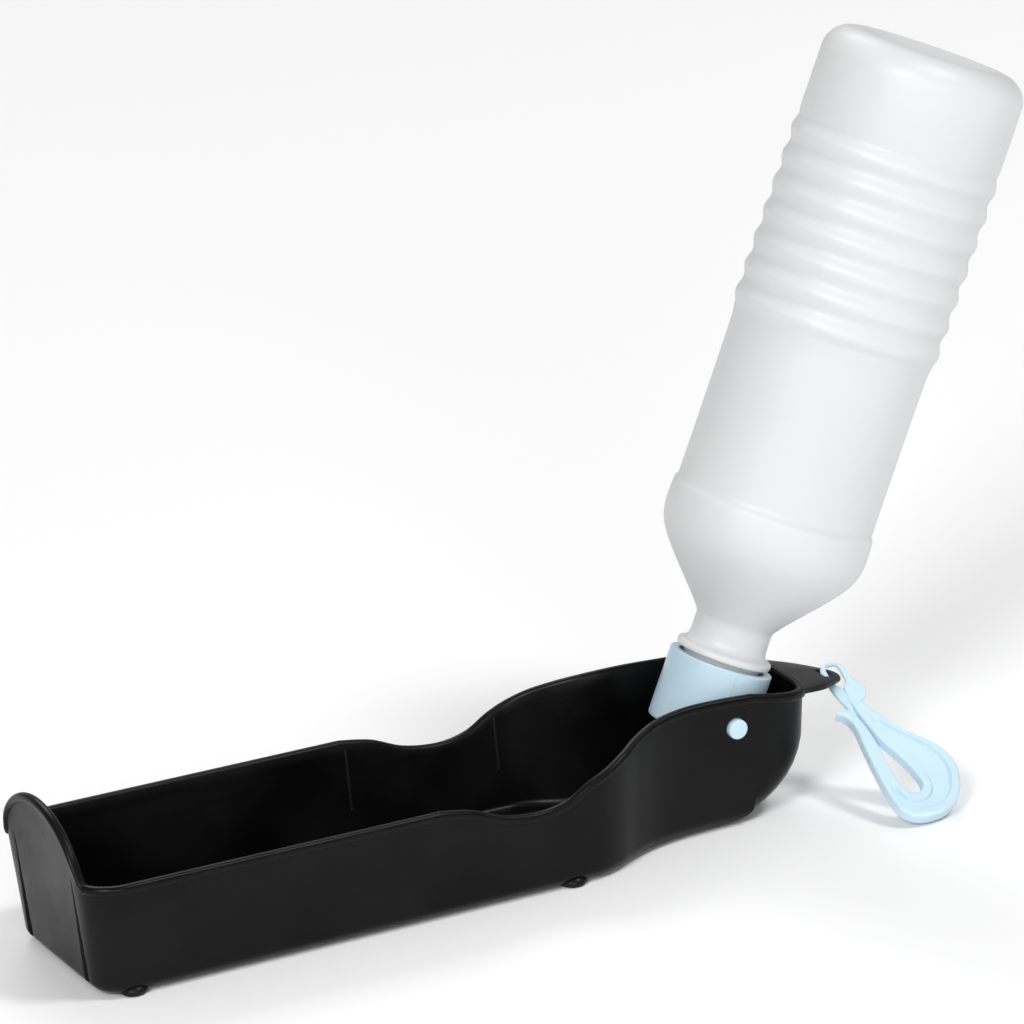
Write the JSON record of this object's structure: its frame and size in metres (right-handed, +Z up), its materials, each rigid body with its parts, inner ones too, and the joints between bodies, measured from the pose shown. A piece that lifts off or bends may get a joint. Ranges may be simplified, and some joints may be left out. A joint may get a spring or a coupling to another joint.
{
  "type": "travel water bottle",
  "caption": "Ribbed squeeze bottle hinged by its screw cap into a long drinking trough, with a push-pull spout and a sprung belt clip, standing unfolded",
  "frame": {"origin": "on the floor under the middle of the whole object's bounding box", "axes": "+Z up, +X along the trough from its end wall towards its head, where the bottle leans back"},
  "size_m": [0.353, 0.093, 0.248],
  "materials": {
    "trough_black": "black polypropylene, satin, with a fine grain",
    "cap_blue": "light blue polypropylene, smooth",
    "washer": "soft pale grey sealing washer",
    "bottle_milky": "milky translucent soft polyethylene, blow moulded",
    "valve": "pale grey polypropylene, smooth",
    "clip_blue": "light blue acetal, smooth"
  },
  "bodies": {
    "trough": {"trough": "trough_black"},
    "cap": {"screw_cap": "cap_blue"},
    "washer": {"sealing_washer": "washer"},
    "bottle": {"bottle": "bottle_milky"},
    "valve": {"spout_valve": "valve"},
    "clip": {"belt_clip": "clip_blue"}
  },
  "joints": [
    {"name": "bottle_fold", "type": "hinge", "parent": "trough", "child": "cap", "pos_m": [0.05581, 0.00788, 0.03493], "axis": [0, -1, 0], "range_deg": [-15, 111]},
    {"name": "bottle_lift", "type": "slide", "parent": "cap", "child": "washer", "axis": [0.4195, 0, 0.9078], "range_m": [0, 0.00315]},
    {"name": "bottle_turn", "type": "hinge", "parent": "washer", "child": "bottle", "pos_m": [0.05581, 0.00788, 0.03493], "axis": [-0.4195, 0, -0.9078], "range_deg": [-420, 0]},
    {"name": "spout_slide", "type": "slide", "parent": "cap", "child": "valve", "axis": [-0.4195, 0, -0.9078], "range_m": [0, 0.0033]},
    {"name": "clip_swing", "type": "hinge", "parent": "trough", "child": "clip", "pos_m": [0.10291, 0.00788, 0.03611], "axis": [1, 0, 0], "range_deg": [0, 115]}
  ],
  "couplings": [
    {"joint": "bottle_lift", "follows": "bottle_turn", "m_per_rad": -0.00042971}
  ]
}
